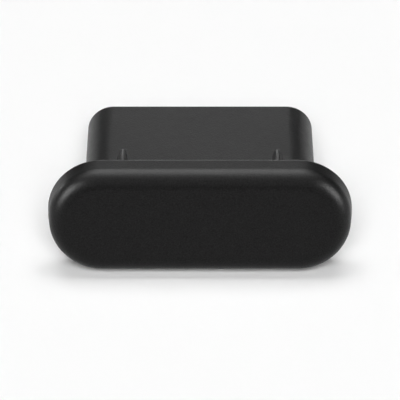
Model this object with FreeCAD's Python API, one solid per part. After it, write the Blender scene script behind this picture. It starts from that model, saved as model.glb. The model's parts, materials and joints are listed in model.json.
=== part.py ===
import FreeCAD, Part
import math
import os

# Dust plug for a USB-C port, in millimetres: one piece, moulded in a soft black plastic.
#
# The plug is modelled on its own axes: X across it, Y along the way it goes into the port and
# Z through its thickness, with the middle of the head's back face at zero. At the end it is laid
# down as it comes to rest: tipped back on the head's lower back edge and the insert's tip.

# Head: the oval grip that stays outside the port, widest at its back face
HEAD_WIDTH = 10.78
HEAD_HEIGHT = 4.12
HEAD_CORNER = 1.95
HEAD_DEPTH = 1.20
HEAD_FRONT_ROUND = 0.62
HEAD_BACK_ROUND = 0.15
HEAD_DRAFT_DEGREES = 5.0

# Insert: the oval block that fills the port, widest where it leaves the head
INSERT_WIDTH = 8.25
INSERT_HEIGHT = 2.40
INSERT_CORNER = 1.00
INSERT_LENGTH = 5.65
INSERT_ROOT_ROUND = 0.10
INSERT_TIP_ROUND = 0.12
INSERT_DRAFT_DEGREES = 0.5

# Slot: the pocket in the insert's tip that goes over the port's own tongue
TONGUE_WIDTH = 6.69
TONGUE_THICKNESS = 0.70
TONGUE_CLEARANCE = 0.10
SLOT_DEPTH = 5.10
SLOT_CORNER = 0.30
SLOT_FLOOR_ROUND = 0.15
SLOT_MOUTH_ROUND = 0.10
SLOT_DRAFT_DEGREES = 0.5

# Ribs: slender half-round noses that wedge the insert in the mouth of the port
RIB_SPACING = 5.52
RIB_LENGTH = 2.40
RIB_RADIUS = 0.30
RIB_HEIGHT = 0.22

# Faces this close to a plane lie in it
IN_PLANE = 1e-4

Vector = FreeCAD.Vector
ORIGIN = Vector(0, 0, 0)
ACROSS = Vector(1, 0, 0)
INWARD = Vector(0, 1, 0)
UPWARD = Vector(0, 0, 1)


def rounded_rectangle(width, height, corner, y):
    """Closed wire in the plane at y: straight sides joined by quarter circles."""
    corner = min(corner, width / 2, height / 2)
    quarters = []
    for turn, side_x, side_z in ((0, 1, 1), (90, -1, 1), (180, -1, -1), (270, 1, -1)):
        centre = Vector(side_x * (width / 2 - corner), y, side_z * (height / 2 - corner))
        angles = [math.radians(turn + step) for step in (0, 45, 90)]
        points = [centre + Vector(math.cos(a), 0, math.sin(a)) * corner for a in angles]
        quarters.append(Part.Arc(*points))
    edges = []
    for quarter, following in zip(quarters, quarters[1:] + quarters[:1]):
        edges.append(quarter.toShape())
        if quarter.EndPoint.distanceToPoint(following.StartPoint) > IN_PLANE:
            edges.append(Part.LineSegment(quarter.EndPoint, following.StartPoint).toShape())
    return Part.Wire(edges)


def tapered_block(width, height, corner, length, draft_degrees):
    """Solid from y = 0 to y = length whose section narrows by the draft on every side."""
    taper = length * math.tan(math.radians(draft_degrees))
    near = rounded_rectangle(width, height, corner, 0)
    far = rounded_rectangle(width - 2 * taper, height - 2 * taper, corner - taper, length)
    return Part.makeLoft([near, far], True, True)


def face_at(shape, y):
    """The largest flat face of a shape in the plane at y."""
    faces = [
        face
        for face in shape.Faces
        if abs(face.BoundBox.YMin - y) < IN_PLANE and abs(face.BoundBox.YMax - y) < IN_PLANE
    ]
    return max(faces, key=lambda face: face.Area)


def round_outline(shape, y, radius):
    """Rounds the outer edge of the flat face at y."""
    return shape.makeFillet(radius, face_at(shape, y).OuterWire.Edges)


def round_inner_edge(shape, y, radius):
    """Rounds the edge round the hole or the foot inside the flat face at y."""
    face = face_at(shape, y)
    inner = [wire for wire in face.Wires if not wire.isSame(face.OuterWire)]
    return shape.makeFillet(radius, [edge for wire in inner for edge in wire.Edges])


def make_head():
    """Oval plate that narrows towards the front, with a soft front edge and a crisper back edge."""
    plate = tapered_block(HEAD_WIDTH, HEAD_HEIGHT, HEAD_CORNER, HEAD_DEPTH, HEAD_DRAFT_DEGREES)
    plate.rotate(ORIGIN, UPWARD, 180)
    plate = round_outline(plate, -HEAD_DEPTH, HEAD_FRONT_ROUND)
    return round_outline(plate, 0, HEAD_BACK_ROUND)


def make_slot():
    """The space of the pocket: it narrows from the insert's tip to a floor with rounded edges."""
    pocket = tapered_block(
        TONGUE_WIDTH + 2 * TONGUE_CLEARANCE,
        TONGUE_THICKNESS + 2 * TONGUE_CLEARANCE,
        SLOT_CORNER,
        SLOT_DEPTH,
        SLOT_DRAFT_DEGREES,
    )
    pocket = round_outline(pocket, SLOT_DEPTH, SLOT_FLOOR_ROUND)
    pocket.rotate(ORIGIN, UPWARD, 180)
    pocket.translate(INWARD * INSERT_LENGTH)
    return pocket


def make_insert():
    """Tapered oval block with a rounded tip and the pocket for the tongue."""
    block = tapered_block(
        INSERT_WIDTH, INSERT_HEIGHT, INSERT_CORNER, INSERT_LENGTH, INSERT_DRAFT_DEGREES
    )
    block = block.cut(make_slot())
    block = round_outline(block, INSERT_LENGTH, INSERT_TIP_ROUND)
    return round_inner_edge(block, INSERT_LENGTH, SLOT_MOUTH_ROUND)


def make_rib():
    """Half of a long ellipsoid on the Y axis, cut off at its widest inside the head."""
    middle = Vector(0, -HEAD_DEPTH / 2, 0)
    widest = middle + UPWARD * RIB_RADIUS
    tip = INWARD * RIB_LENGTH
    ellipse = Part.Ellipse(tip, widest, middle)
    profile = Part.Wire(
        [
            Part.LineSegment(middle, tip).toShape(),
            Part.Arc(ellipse, 0, math.pi / 2).toShape(),
            Part.LineSegment(widest, middle).toShape(),
        ]
    )
    return Part.Face(profile).revolve(ORIGIN, INWARD, 360)


def make_ribs():
    """Two ribs on the insert's top face and two on its bottom face, sunk to their height."""
    ribs = []
    axis_height = INSERT_HEIGHT / 2 + RIB_HEIGHT - RIB_RADIUS
    for side in (-1, 1):
        for half_turn in (0, 180):
            rib = make_rib()
            rib.rotate(ORIGIN, ACROSS, -INSERT_DRAFT_DEGREES)
            rib.translate(Vector(side * RIB_SPACING / 2, 0, axis_height))
            rib.rotate(ORIGIN, INWARD, half_turn)
            ribs.append(rib)
    return ribs


def make_plug():
    """The whole plug on its own axes, as one solid."""
    plug = make_head().fuse(make_insert()).removeSplitter()
    plug = round_inner_edge(plug, 0, INSERT_ROOT_ROUND)
    return plug.fuse(make_ribs()).removeSplitter()


def round_centre(height, draft_degrees, reach, radius):
    """How far below the middle an edge round has its centre.

    The round touches a wall that starts at half the height and closes in by the draft; its centre
    lies the given reach from the widest section.
    """
    draft = math.radians(draft_degrees)
    return height / 2 - reach * math.tan(draft) - radius / math.cos(draft)


def resting_lean():
    """Angle in degrees of the line that touches the head's lower back edge and the tip's lower edge.

    Both edges are rounded, so in side view the line is the common tangent of two circles.
    """
    tip_reach = INSERT_LENGTH - INSERT_TIP_ROUND
    head_drop = round_centre(HEAD_HEIGHT, HEAD_DRAFT_DEGREES, HEAD_BACK_ROUND, HEAD_BACK_ROUND)
    tip_drop = round_centre(INSERT_HEIGHT, INSERT_DRAFT_DEGREES, tip_reach, INSERT_TIP_ROUND)
    span = Vector(0, tip_reach, -tip_drop) - Vector(0, -HEAD_BACK_ROUND, -head_drop)
    slope = math.atan2(span.z, span.y)
    return math.degrees(slope - math.asin((INSERT_TIP_ROUND - HEAD_BACK_ROUND) / span.Length))


def resting_place(plug):
    """The placement that leans the plug back and sets it on z = 0, centred over the origin."""
    lean = FreeCAD.Placement(ORIGIN, FreeCAD.Rotation(ACROSS, -resting_lean()))
    leaning = plug.copy()
    leaning.Placement = lean
    box = leaning.optimalBoundingBox(False, False)
    shift = Vector(-box.Center.x, -box.Center.y, -box.ZMin)
    return FreeCAD.Placement(shift, FreeCAD.Rotation()) * lean


os.makedirs("parts", exist_ok=True)
dust_plug = make_plug()
dust_plug.Placement = resting_place(dust_plug)
dust_plug.exportStep("parts/dust_plug.step")
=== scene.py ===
"""Looks of a dust plug for a small oval port: its one moulded piece, the finish of that piece and the studio.

The plug is built on its own axes, in millimetres: X across it, Y the way it goes into the port and Z through
its thickness, with the middle of the head's back face at zero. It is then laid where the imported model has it,
in metres.
"""

import json
import logging
import math
from dataclasses import dataclass, field
from enum import Enum

import bpy
import numpy as np
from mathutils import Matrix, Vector


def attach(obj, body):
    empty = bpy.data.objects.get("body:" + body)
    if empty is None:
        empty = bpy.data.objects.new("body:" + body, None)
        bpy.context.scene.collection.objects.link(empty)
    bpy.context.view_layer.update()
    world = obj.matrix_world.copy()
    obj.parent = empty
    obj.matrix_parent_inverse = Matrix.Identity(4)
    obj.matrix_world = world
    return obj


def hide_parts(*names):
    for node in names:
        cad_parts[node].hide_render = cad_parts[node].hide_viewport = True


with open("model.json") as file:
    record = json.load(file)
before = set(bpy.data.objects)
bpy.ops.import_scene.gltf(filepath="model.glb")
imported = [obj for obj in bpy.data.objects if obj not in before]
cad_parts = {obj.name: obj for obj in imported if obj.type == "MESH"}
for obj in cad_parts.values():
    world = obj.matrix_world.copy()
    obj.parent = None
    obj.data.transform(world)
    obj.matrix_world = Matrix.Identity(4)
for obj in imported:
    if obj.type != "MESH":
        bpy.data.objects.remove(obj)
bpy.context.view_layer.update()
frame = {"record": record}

log = logging.getLogger("dust_plug")

Array = np.ndarray
Colour = tuple[float, float, float]

MILLIMETRE = 0.001
WHITE = (1.0, 1.0, 1.0)
NODE = "dust_plug"
BODY = "root"
PORT_MOUNT = "port_insert"


class Pole(Enum):
    """Which end of a tube of rows a pole closes."""

    FIRST = 0
    LAST = 1


class LampRole(Enum):
    """What a lamp does: it lights the set, or it is a panel that shows only in the gloss."""

    LIGHT = "light"
    REFLECTION = "reflection"


def port_mount() -> dict:
    """The record's mount at the head's back face, with its place in metres and the way into the port."""
    return next(mount for mount in frame["record"]["mounts"] if mount["name"] == PORT_MOUNT)


def eased(count: int) -> Array:
    """Shares from 0 to 1, close together at both ends: half of one minus the cosine of equal angles."""
    return (1 - np.cos(np.linspace(0, math.pi, count))) / 2


def inner_shares(count: int) -> Array:
    """Eased shares between 0 and 1, without the two ends."""
    return eased(count + 2)[1:-1]


def quarter_turn(count: int, start: float = 0.0) -> Array:
    """Equal angles from a start, in radians, to a right angle."""
    return np.linspace(start, math.pi / 2, count)


def rows_between(first: Array, last: Array, count: int) -> Array:
    """Rows that lead from one loop to another.

    Each point goes straight from its place on the first loop to its place on the last, by eased shares.
    The two loops themselves are left out.

    Args:
        first: Loop that the rows leave, columns by (x, y, z).
        last: Loop that the rows reach, of the same shape.
        count: How many rows lie between them.

    Returns:
        Points as rows by columns by (x, y, z).
    """
    share = inner_shares(count)[:, None, None]
    return first + share * (last - first)


def capped_tube(name: str, rows: Array) -> bpy.types.Mesh:
    """Mesh of a tube of closed rows with a pole at each end, at the middle of the end row.

    Args:
        name: Name of the mesh.
        rows: Points as rows by columns by (x, y, z), in metres.

    Returns:
        A closed mesh of four-sided faces, with three-sided ones round the poles, facing outwards.
    """
    row_count, column_count = rows.shape[:2]
    poles = rows[[0, -1]].mean(axis=1)
    points = np.concatenate([rows.reshape(-1, 3), poles])
    grid = np.arange(row_count * column_count).reshape(row_count, column_count)
    turned = np.roll(grid, -1, axis=1)
    quads = np.stack([grid[:-1], turned[:-1], turned[1:], grid[1:]], axis=-1).reshape(-1, 4)
    first, last = (np.full(column_count, grid.size + pole.value) for pole in Pole)
    fans = np.concatenate(
        [
            np.stack([first, turned[0], grid[0]], axis=-1),
            np.stack([grid[-1], turned[-1], last], axis=-1),
        ]
    )
    corners = np.concatenate([quads.ravel(), fans.ravel()])
    sides = np.concatenate([np.full(len(quads), 4), np.full(len(fans), 3)])
    starts = np.concatenate([[0], np.cumsum(sides)[:-1]])

    mesh = bpy.data.meshes.new(name)
    mesh.vertices.add(len(points))
    mesh.vertices.foreach_set("co", points.astype(np.float32).ravel())
    mesh.loops.add(len(corners))
    mesh.loops.foreach_set("vertex_index", corners.astype(np.int32))
    mesh.polygons.add(len(sides))
    mesh.polygons.foreach_set("loop_start", starts.astype(np.int32))
    mesh.update(calc_edges=True)
    mesh.validate()
    return mesh


@dataclass(frozen=True)
class Oval:
    """A rounded rectangle, the section that every stretch of the plug has.

    Attributes:
        width: Size across, along X.
        height: Size through, along Z.
        corner: Radius of the four corners.
    """

    width: float
    height: float
    corner: float

    @property
    def flat(self) -> float:
        """Half the length of the straight top, which an inset leaves as it is."""
        return self.width / 2 - self.corner

    def quarter(self, inset: Array, across: Array, bend: Array) -> Array:
        """A quarter of the outline, from the middle of its top to the middle of its right side.

        An outline moved inwards keeps the centres of its corners, so its corner radius and its half height
        both lose the inset. The top is straight at that half height. The rest follows the quarter circle and
        then the straight half side, each point at its share of their length.

        Args:
            inset: How far each row lies inside the outline, one value a row.
            across: Places along the straight top, rows by columns.
            bend: Shares of the way round the corner and down the side, one value a column.

        Returns:
            Points as rows by columns by (x, z).
        """
        radius = (self.corner - inset)[:, None]
        half = (self.height / 2 - inset)[:, None]
        turn = radius * math.pi / 2
        along = bend * (turn + half - radius)
        angle = np.minimum(along, turn) / radius
        below = np.maximum(along - turn, 0)
        top = np.stack([across, np.broadcast_to(half, across.shape)], axis=-1)
        corner_x = self.flat + radius * np.sin(angle)
        corner_z = half - radius + radius * np.cos(angle) - below
        return np.concatenate([top, np.stack([corner_x, corner_z], axis=-1)], axis=1)


@dataclass(frozen=True)
class Rib:
    """A slender half-round nose on the insert, half of a long ellipsoid that starts inside the head.

    Attributes:
        spacing: Distance between the two ribs of one face.
        length: Reach of the ellipsoid's end past the head's back face.
        root: Place of the ellipsoid's middle along Y.
        radius: Radius of the ellipsoid's middle.
        axis: Height of the rib's axis at the head's back face.
        narrowest: Half width of the columns where there is no rib.
        spread: How fast those columns part behind the rib's end.
    """

    spacing: float = 5.52
    length: float = 2.40
    root: float = -0.60
    radius: float = 0.30
    axis: float = 1.12
    narrowest: float = 0.012
    spread: float = 0.05

    @property
    def middle(self) -> float:
        """Distance of the rib's ridge from the middle of the plug."""
        return self.spacing / 2

    def girth(self, along: Array) -> Array:
        """Radius of the ellipsoid along it: the root of one minus the square of the share of its reach."""
        share = np.clip((along - self.root) / (self.length - self.root), -1, 1)
        return self.radius * np.sqrt(1 - share**2)

    def end(self, depth: float) -> float:
        """Place where the ridge sinks into a face that lies a given depth above the axis."""
        return self.root + (self.length - self.root) * math.sqrt(1 - (depth / self.radius) ** 2)

    def half_width(self, along: Array, depth: Array) -> Array:
        """Half width of the rib where it leaves the face, from its girth and the face's depth above its axis.

        Args:
            along: Place of each row along Y.
            depth: Height of the face over the rib's axis at each row.

        Returns:
            Half widths, held above the narrowest, which widens slowly behind the rib's end.
        """
        bare = self.narrowest + self.spread * np.maximum(along - self.length, 0)
        return np.maximum(np.sqrt(np.maximum(self.girth(along) ** 2 - depth**2, 0)), bare)


@dataclass(frozen=True)
class Fineness:
    """How many rows and columns the plug's surface has on each stretch.

    Attributes:
        front_face: Rows on the head's front face.
        front_edge: Rows round the head's front edge.
        head_wall: Rows on the head's wall.
        back_edge: Rows round the head's back edge.
        back_face: Rows on the head's back face.
        root: Rows round the insert's root.
        beside_rib: Rows of the insert's wall along the ribs.
        behind_rib: Rows of the insert's wall past the ribs.
        tip_edge: Rows round the edge of the insert's tip.
        tip_face: Rows on the tip's face, up to the pocket's mouth.
        mouth: Rows round the edge of the pocket's mouth.
        slot_wall: Rows on the pocket's wall.
        floor_edge: Rows round the edge of the pocket's floor.
        slot_floor: Rows on the pocket's floor.
        inside: Columns from the middle of the top to the rib.
        on_rib: Columns across the rib.
        outside: Columns from the rib to the corner.
        round_corner: Columns round the corner and down half of the side.
    """

    front_face: int = 14
    front_edge: int = 30
    head_wall: int = 8
    back_edge: int = 9
    back_face: int = 8
    root: int = 8
    beside_rib: int = 29
    behind_rib: int = 12
    tip_edge: int = 12
    tip_face: int = 6
    mouth: int = 9
    slot_wall: int = 10
    floor_edge: int = 9
    slot_floor: int = 8
    inside: int = 15
    on_rib: int = 21
    outside: int = 5
    round_corner: int = 36


@dataclass
class DustPlug:
    """The plug: an oval head, a tapered oval insert with four ribs, and the pocket in the insert's tip.

    The whole surface is one profile carried round the section: it starts in the middle of the front face,
    goes over the head's edges, along the insert, round its tip and down the pocket to the middle of the
    floor.

    Attributes:
        head: Outline of the head at its back face, before that edge is rounded.
        head_depth: Size of the head along Y.
        head_front_round: Radius of its front edge.
        head_back_round: Radius of its back edge.
        head_draft: Slope of its wall, in radians.
        insert: Outline of the insert where it leaves the head.
        insert_length: Reach of the insert past the head's back face.
        insert_root_round: Radius of the hollow round its root.
        insert_tip_round: Radius of the edge of its tip.
        draft: Slope of the insert's wall and of the pocket's, in radians.
        slot: Outline of the pocket at the tip.
        slot_depth: Depth of the pocket.
        slot_floor_round: Radius of the hollow round the pocket's floor.
        slot_mouth_round: Radius of the edge of its mouth.
        rib: Shape of the ribs.
        crease: Angle between two faces, in radians, from which their edge stays sharp.
        fine: How many rows and columns the surface has.
    """

    head: Oval = Oval(width=10.78, height=4.12, corner=1.95)
    head_depth: float = 1.20
    head_front_round: float = 0.62
    head_back_round: float = 0.15
    head_draft: float = math.radians(5)
    insert: Oval = Oval(width=8.25, height=2.40, corner=1.00)
    insert_length: float = 5.65
    insert_root_round: float = 0.10
    insert_tip_round: float = 0.12
    draft: float = math.radians(0.5)
    slot: Oval = Oval(width=6.89, height=0.90, corner=0.30)
    slot_depth: float = 5.10
    slot_floor_round: float = 0.15
    slot_mouth_round: float = 0.10
    rib: Rib = field(default_factory=Rib)
    crease: float = math.radians(35)
    fine: Fineness = field(default_factory=Fineness)

    @property
    def taper(self) -> float:
        """How much the draft takes off each side for a unit of length."""
        return math.tan(self.draft)

    def head_profile(self) -> tuple[Array, Array]:
        """Profile of the head from its front face to its back face.

        The wall is straight and closes in by the head's draft towards the front. A large arc tangent to it
        rounds the front edge and a small one rounds the back edge.

        Returns:
            Place along Y and inset from the head's outline at its back face, one value a row.
        """
        taper = math.tan(self.head_draft)
        reach = 1 / math.cos(self.head_draft)
        front = quarter_turn(self.fine.front_edge, self.head_draft)[::-1]
        centre = self.head_depth - self.head_front_round
        front_depth = centre + self.head_front_round * np.sin(front)
        front_inset = centre * taper + self.head_front_round * (reach - np.cos(front))
        back = quarter_turn(self.fine.back_edge, -self.head_draft)
        back_depth = self.head_back_round * (1 - np.sin(back))
        back_inset = self.head_back_round * (taper + reach - np.cos(back))
        wall_depth = front_depth[-1] + inner_shares(self.fine.head_wall) * (back_depth[0] - front_depth[-1])
        along = -np.concatenate([front_depth, wall_depth, back_depth])
        inset = np.concatenate([front_inset, wall_depth * taper, back_inset])
        return along, inset

    def insert_profile(self) -> tuple[Array, Array]:
        """Profile of the insert from the head's back face to its tip.

        A hollow quarter circle fills its root, then the wall closes in with the draft, with rows that crowd
        towards the ribs' ends, and an arc tangent to the wall rounds the tip.

        Returns:
            Place along Y and inset from the insert's outline at the head, one value a row.
        """
        root = quarter_turn(self.fine.root)
        root_along = self.insert_root_round * (1 - np.cos(root))
        rib_depth = self.insert.height / 2 - self.rib.axis
        rib_end = self.rib.end(rib_depth)
        share = np.linspace(0, 1, self.fine.beside_rib + 1)[1:]
        beside_rib = self.insert_root_round + (rib_end - self.insert_root_round) * (1 - (1 - share) ** 2)
        centre = self.insert_length - self.insert_tip_round
        bend = quarter_turn(self.fine.tip_edge, self.draft)
        tip_along = centre + self.insert_tip_round * np.sin(bend)
        tip_inset = centre * self.taper + self.insert_tip_round * (1 / math.cos(self.draft) - np.cos(bend))
        behind_rib = rib_end + inner_shares(self.fine.behind_rib) * (tip_along[0] - rib_end)
        along = np.concatenate([root_along, beside_rib, behind_rib, tip_along])
        inset = np.concatenate(
            [
                root_along * self.taper - self.insert_root_round * (1 - np.sin(root)),
                beside_rib * self.taper,
                behind_rib * self.taper,
                tip_inset,
            ]
        )
        return along, inset

    def slot_profile(self) -> tuple[Array, Array]:
        """Profile of the pocket from the insert's tip to its floor.

        An arc breaks the edge of the mouth, the wall closes in with the draft, and a hollow arc leads into
        the floor. Both arcs are tangent to the wall.

        Returns:
            Place along Y and inset from the pocket's outline at the tip, one value a row.
        """
        reach = 1 / math.cos(self.draft)
        mouth = quarter_turn(self.fine.mouth, self.draft)[::-1]
        mouth_depth = self.slot_mouth_round * (1 - np.sin(mouth))
        mouth_inset = self.slot_mouth_round * (self.taper - reach + np.cos(mouth))
        floor = quarter_turn(self.fine.floor_edge, self.draft)
        centre = self.slot_depth - self.slot_floor_round
        floor_depth = centre + self.slot_floor_round * np.sin(floor)
        floor_inset = centre * self.taper + self.slot_floor_round * (reach - np.cos(floor))
        wall_depth = mouth_depth[-1] + inner_shares(self.fine.slot_wall) * (floor_depth[0] - mouth_depth[-1])
        depth = np.concatenate([mouth_depth, wall_depth, floor_depth])
        inset = np.concatenate([mouth_inset, wall_depth * self.taper, floor_inset])
        return self.insert_length - depth, inset

    def across(self, half_width: Array) -> Array:
        """Places of the columns along half of the insert's straight top.

        They run evenly up to the rib, closer towards the rib's two edges and evenly again to the corner.

        Args:
            half_width: Half width of the rib, one value a row.

        Returns:
            Places along X, rows by columns, from the middle to the end of the straight.
        """
        width = half_width[:, None]
        middle = self.rib.middle
        inside = np.linspace(0, 1, self.fine.inside + 1)[:-1] * (middle - width)
        on_rib = middle - width * np.cos(np.linspace(0, math.pi, self.fine.on_rib))
        left = np.linspace(0, 1, self.fine.outside + 1)[1:]
        outside = middle + width + left * (self.insert.flat - middle - width)
        return np.concatenate([inside, on_rib, outside], axis=1)

    def loops(
        self,
        section: Oval,
        along: Array,
        inset: Array,
        across: Array,
        ribbed: bool = False,
    ) -> Array:
        """Closed loops of one stretch, from a profile and the section that it is carried round.

        A quarter of each loop is worked out and mirrored to the other three. On a ribbed stretch a point of
        the straight top is lifted to the rib where the rib stands over the face.

        Args:
            section: Outline of the stretch before its insets.
            along: Place along Y, one value a row.
            inset: Inset from the outline, one value a row.
            across: Places along the straight top, rows by columns.
            ribbed: Whether the ribs stand on this stretch.

        Returns:
            Points as rows by columns by (x, y, z), clockwise from the middle of the top, seen from the front.
        """
        bend = np.linspace(0, 1, self.fine.round_corner + 1)[1:]
        quarter = section.quarter(inset, across, bend)
        if ribbed:
            girth = self.rib.girth(along)[:, None]
            offset = across - self.rib.middle
            axis = (self.rib.axis - along * self.taper)[:, None]
            top = axis + np.sqrt(np.maximum(girth**2 - offset**2, 0))
            straight = quarter[:, : across.shape[1], 1]
            lifted = np.where(np.abs(offset) < girth, np.maximum(straight, top), straight)
            quarter[:, : across.shape[1], 1] = lifted
        right = np.concatenate([quarter[:, :-1], quarter[:, :0:-1] * (1, -1)], axis=1)
        flat = np.concatenate([right, -right], axis=1)
        depth = np.broadcast_to(along[:, None], flat.shape[:2])
        return np.stack([flat[..., 0], depth, flat[..., 1]], axis=-1)

    def surface(self) -> Array:
        """All rows of the plug's surface between its poles, from the front face to the pocket's floor.

        Returns:
            Points as rows by columns by (x, y, z), on the plug's own axes.
        """
        insert_along, insert_inset = self.insert_profile()
        depth = self.insert.height / 2 - insert_inset - (self.rib.axis - insert_along * self.taper)
        across = self.across(self.rib.half_width(insert_along, depth))
        insert = self.loops(self.insert, insert_along, insert_inset, across, ribbed=True)

        head_along, head_inset = self.head_profile()
        head_across = np.tile(across[0] * self.head.flat / self.insert.flat, (len(head_along), 1))
        head = self.loops(self.head, head_along, head_inset, head_across)

        slot_along, slot_inset = self.slot_profile()
        slot_across = np.tile(across[-1] * self.slot.flat / self.insert.flat, (len(slot_along), 1))
        slot = self.loops(self.slot, slot_along, slot_inset, slot_across)

        front_pole = head[0] * (0, 1, 0)
        floor_pole = slot[-1] * (0, 1, 0)
        return np.concatenate(
            [
                rows_between(front_pole, head[0], self.fine.front_face),
                head,
                rows_between(head[-1], insert[0], self.fine.back_face),
                insert,
                rows_between(insert[-1], slot[0], self.fine.tip_face),
                slot,
                rows_between(slot[-1], floor_pole, self.fine.slot_floor),
            ]
        )

    def lay_down(self, points: Array) -> Array:
        """Points on the plug's own axes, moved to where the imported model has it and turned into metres.

        The record's mount gives the origin, in the middle of the head's back face, and the way into the port,
        which is the plug's Y. The plug's X is the model's own, and its Z is square to both.

        Args:
            points: Points as rows by columns by (x, y, z), in millimetres.

        Returns:
            The points in the model's place, of the same shape, in metres.
        """
        mount = port_mount()
        inward = np.array(mount["axis"]) / np.linalg.norm(mount["axis"])
        across = np.array([1.0, 0.0, 0.0])
        axes = np.stack([across, inward, np.cross(across, inward)])
        return np.array(mount["pos_m"]) + MILLIMETRE * points @ axes

    def build(self) -> bpy.types.Object:
        """Makes the plug's mesh, smooth apart from the creases along the ribs, and links it to the scene.

        Returns:
            The plug's object.
        """
        mesh = capped_tube(NODE + "_moulding", self.lay_down(self.surface()))
        mesh.shade_smooth()
        mesh.set_sharp_from_angle(angle=self.crease)
        piece = bpy.data.objects.new("moulded_plug", mesh)
        bpy.context.scene.collection.objects.link(piece)
        return piece

    def dress(self, piece: bpy.types.Object, finish: "BlackElastomer") -> None:
        """Gives the piece its finish, ties it to the body and hides the imported node that it stands for.

        Args:
            piece: The plug's object.
            finish: Finish of its whole surface.
        """
        piece.data.materials.append(finish.material())
        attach(piece, BODY)
        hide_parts(NODE)


@dataclass(frozen=True)
class BlackElastomer:
    """Finish of the plug: soft black plastic from a finely eroded mould.

    A fine grain stands up a few thousandths of a millimetre and is a little paler on its tops. Broader
    clouds, about a third of a millimetre across, make the skin a little more or less rough.

    Attributes:
        slot: The record's name for this material.
        hollow: Colour of the plastic in the hollows of the grain.
        top: Colour of the plastic on the tops of the grain.
        specular: Level of its surface reflection.
        roughness: Least and greatest roughness of its skin.
        grain: How many grains lie on a millimetre.
        grain_detail: How many finer layers the grain has.
        relief: Height of the grain, in millimetres.
        cloud: How many clouds lie on a millimetre.
        cloud_detail: How many finer layers the clouds have.
        noise_middle: Part of a noise's values that is stretched over a whole range.
    """

    slot: str = "black_elastomer"
    hollow: Colour = (0.0002, 0.0002, 0.0002)
    top: Colour = (0.0072, 0.0072, 0.0072)
    specular: float = 0.15
    roughness: tuple[float, float] = (0.36, 0.41)
    grain: float = 20.0
    grain_detail: float = 2.0
    relief: float = 0.0025
    cloud: float = 3.0
    cloud_detail: float = 5.0
    noise_middle: tuple[float, float] = (0.3, 0.7)

    def material(self) -> bpy.types.Material:
        """The finish as a material on Object coordinates, turned into millimetres.

        Returns:
            The material, named as its slot is.
        """
        material = bpy.data.materials.new(self.slot)
        material.use_nodes = True
        tree = material.node_tree
        shader = tree.nodes["Principled BSDF"]
        shader.inputs["Specular IOR Level"].default_value = self.specular
        place = tree.nodes.new("ShaderNodeTexCoord")
        millimetres = tree.nodes.new("ShaderNodeMapping")
        millimetres.inputs["Scale"].default_value = (1 / MILLIMETRE,) * 3
        tree.links.new(place.outputs["Object"], millimetres.inputs["Vector"])

        grain = self.noise(tree, millimetres, self.grain, self.grain_detail, (0.0, 1.0))
        shade = tree.nodes.new("ShaderNodeMix")
        shade.data_type = "RGBA"
        shade.inputs["A"].default_value = (*self.hollow, 1)
        shade.inputs["B"].default_value = (*self.top, 1)
        tree.links.new(grain, shade.inputs["Factor"])
        tree.links.new(shade.outputs["Result"], shader.inputs["Base Color"])
        bump = tree.nodes.new("ShaderNodeBump")
        bump.inputs["Strength"].default_value = 1
        bump.inputs["Distance"].default_value = self.relief * MILLIMETRE
        tree.links.new(grain, bump.inputs["Height"])
        tree.links.new(bump.outputs["Normal"], shader.inputs["Normal"])
        cloud = self.noise(tree, millimetres, self.cloud, self.cloud_detail, self.roughness)
        tree.links.new(cloud, shader.inputs["Roughness"])
        return material

    def noise(
        self,
        tree: bpy.types.NodeTree,
        place: bpy.types.Node,
        scale: float,
        detail: float,
        ends: tuple[float, float],
    ) -> bpy.types.NodeSocket:
        """Adds a noise whose middle part is stretched over a range, and gives the socket of its value.

        Args:
            tree: Node tree of the material.
            place: Node whose vector the noise lies on.
            scale: How many features lie on a millimetre.
            detail: How many finer layers it has.
            ends: Values at the two ends of the range.

        Returns:
            The socket of the stretched value.
        """
        noise = tree.nodes.new("ShaderNodeTexNoise")
        noise.inputs["Scale"].default_value = scale
        noise.inputs["Detail"].default_value = detail
        tree.links.new(place.outputs["Vector"], noise.inputs["Vector"])
        stretch = tree.nodes.new("ShaderNodeMapRange")
        stretch.inputs["From Min"].default_value, stretch.inputs["From Max"].default_value = self.noise_middle
        stretch.inputs["To Min"].default_value, stretch.inputs["To Max"].default_value = ends
        tree.links.new(noise.outputs["Fac"], stretch.inputs["Value"])
        return stretch.outputs["Result"]


@dataclass(frozen=True)
class Softbox:
    """A rectangular lamp that faces the plug.

    Attributes:
        name: Its name in the scene.
        azimuth: Way that it lies from the plug, in degrees from the back towards the right.
        elevation: Its height over the horizon, in degrees, where more than 90 lies beyond the zenith.
        width: Its size across, as an angle in degrees seen from the plug.
        height: Its size upwards, as an angle in degrees seen from the plug.
        radiance: Its brightness, where 1 is white.
        distance: How far it stands from the plug, in metres.
    """

    name: str
    azimuth: float
    elevation: float
    width: float
    height: float
    radiance: float
    distance: float = 3.0

    def build(self, role: LampRole) -> None:
        """Makes the lamp, whose power is its radiance times its area times pi, and links it to the scene.

        Args:
            role: Whether it lights the set or only shows in the gloss.
        """
        lamp = bpy.data.lights.new(self.name, "AREA")
        lamp.shape = "RECTANGLE"
        lamp.size = 2 * self.distance * math.tan(math.radians(self.width) / 2)
        lamp.size_y = 2 * self.distance * math.tan(math.radians(self.height) / 2)
        lamp.energy = self.radiance * lamp.size * lamp.size_y * math.pi
        turn, rise = math.radians(self.azimuth), math.radians(self.elevation)
        way = Vector((math.sin(turn) * math.cos(rise), math.cos(turn) * math.cos(rise), math.sin(rise)))
        box = bpy.data.objects.new(self.name, lamp)
        box.location = way * self.distance
        box.rotation_mode = "QUATERNION"
        box.rotation_quaternion = way.to_track_quat("Z", "Y")
        box.visible_camera = False
        box.visible_diffuse = role is LampRole.LIGHT
        box.visible_glossy = role is LampRole.REFLECTION
        bpy.context.scene.collection.objects.link(box)


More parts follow.
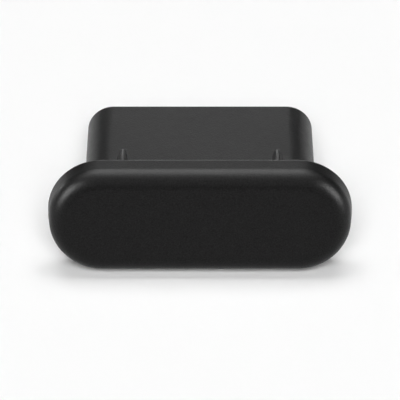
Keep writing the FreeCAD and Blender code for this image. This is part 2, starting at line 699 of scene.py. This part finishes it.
@dataclass
class Studio:
    """The pale floor, the lamps and the world round the plug.

    Attributes:
        floor_half: Half the side of the square floor, in metres.
        floor_colour: Colour of the floor.
        world_level: Brightness of the white world.
        lights: Lamps that light the floor and the plug.
        panels: Lamps that show only in the plug's gloss.
    """

    floor_half: float = 0.6
    floor_colour: Colour = (0.93, 0.93, 0.93)
    world_level: float = 0.02
    lights: tuple[Softbox, ...] = (
        Softbox("key", azimuth=0, elevation=79, width=40, height=22, radiance=5.45),
        Softbox("front_light", azimuth=180, elevation=47, width=34, height=28, radiance=9.25),
    )
    panels: tuple[Softbox, ...] = (
        Softbox("front_panel", azimuth=180, elevation=48, width=110, height=70, radiance=0.66),
        Softbox("overhead", azimuth=-4, elevation=62, width=34, height=44, radiance=8.8),
        Softbox("top_panel", azimuth=0, elevation=95, width=40, height=24, radiance=1.9),
        Softbox("behind", azimuth=0, elevation=1.5, width=10, height=3, radiance=18.0),
        Softbox("left_strip", azimuth=-116, elevation=22, width=18, height=32, radiance=29.0),
        Softbox("right_strip", azimuth=111, elevation=20, width=20, height=30, radiance=25.5),
        Softbox("left_rear", azimuth=-54, elevation=2, width=14, height=4, radiance=28.0),
        Softbox("left_high", azimuth=-60, elevation=55, width=26, height=26, radiance=3.0),
        Softbox("right_high", azimuth=52, elevation=55, width=26, height=26, radiance=2.0),
    )

    def build(self) -> None:
        """Makes the floor, the lamps and the world."""
        self.build_floor()
        for light in self.lights:
            light.build(LampRole.LIGHT)
        for panel in self.panels:
            panel.build(LampRole.REFLECTION)
        self.build_world()

    def build_floor(self) -> None:
        half = self.floor_half
        corners = np.array([[-half, -half, 0], [half, -half, 0], [half, half, 0], [-half, half, 0]])
        mesh = bpy.data.meshes.new("floor")
        mesh.from_pydata(corners.tolist(), [], [(0, 1, 2, 3)])
        floor = bpy.data.objects.new("floor", mesh)
        bpy.context.scene.collection.objects.link(floor)
        material = bpy.data.materials.new("pale_floor")
        material.use_nodes = True
        shader = material.node_tree.nodes["Principled BSDF"]
        shader.inputs["Base Color"].default_value = (*self.floor_colour, 1)
        shader.inputs["Roughness"].default_value = 1
        shader.inputs["Specular IOR Level"].default_value = 0
        mesh.materials.append(material)

    def build_world(self) -> None:
        """Makes the world, an even white at a low level, and gives it to the scene."""
        world = bpy.data.worlds.new("studio")
        world.use_nodes = True
        background = world.node_tree.nodes["Background"]
        background.inputs["Color"].default_value = (*WHITE, 1)
        background.inputs["Strength"].default_value = self.world_level
        bpy.context.scene.world = world


@dataclass(frozen=True)
class Viewpoint:
    """The camera of the portrait, in front of the plug and looking down on it.

    Attributes:
        elevation: Angle of its line of sight below the horizon, in degrees.
        distance: Distance from the head's back face, in millimetres.
        scale: Pixels for a millimetre at that distance.
        rise: How far the middle of the picture lies over the middle of the head's back face, in millimetres.
        frame_pixels: Width of the picture, in pixels.
        sensor: Width of the camera's sensor, in millimetres.
    """

    elevation: float = 38.23
    distance: float = 160.0
    scale: float = 28.22
    rise: float = 0.323
    frame_pixels: int = 400
    sensor: float = 36.0

    def build(self, target: Vector) -> None:
        """Makes the camera and gives it to the scene.

        Args:
            target: Middle of the head's back face, in metres.
        """
        data = bpy.data.cameras.new("portrait")
        data.sensor_width = self.sensor
        data.lens = self.scale * self.distance * self.sensor / self.frame_pixels
        data.clip_start = MILLIMETRE
        dip = math.radians(self.elevation)
        forward = Vector((0, math.cos(dip), -math.sin(dip)))
        upward = Vector((0, math.sin(dip), math.cos(dip)))
        camera = bpy.data.objects.new("portrait", data)
        camera.location = target + MILLIMETRE * (self.rise * upward - self.distance * forward)
        camera.rotation_mode = "QUATERNION"
        camera.rotation_quaternion = forward.to_track_quat("-Z", "Y")
        bpy.context.scene.collection.objects.link(camera)
        bpy.context.scene.camera = camera


def main() -> None:
    """Builds the plug, the studio and the camera in order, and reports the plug."""
    logging.basicConfig(level=logging.INFO, format="%(name)s: %(message)s")
    bpy.context.scene.view_settings.view_transform = "Standard"
    plug = DustPlug()
    piece = plug.build()
    plug.dress(piece, BlackElastomer())
    log.info("%s has %d faces", piece.name, len(piece.data.polygons))
    Studio().build()
    Viewpoint().build(Vector(port_mount()["pos_m"]))


if __name__ == "__main__":
    main()
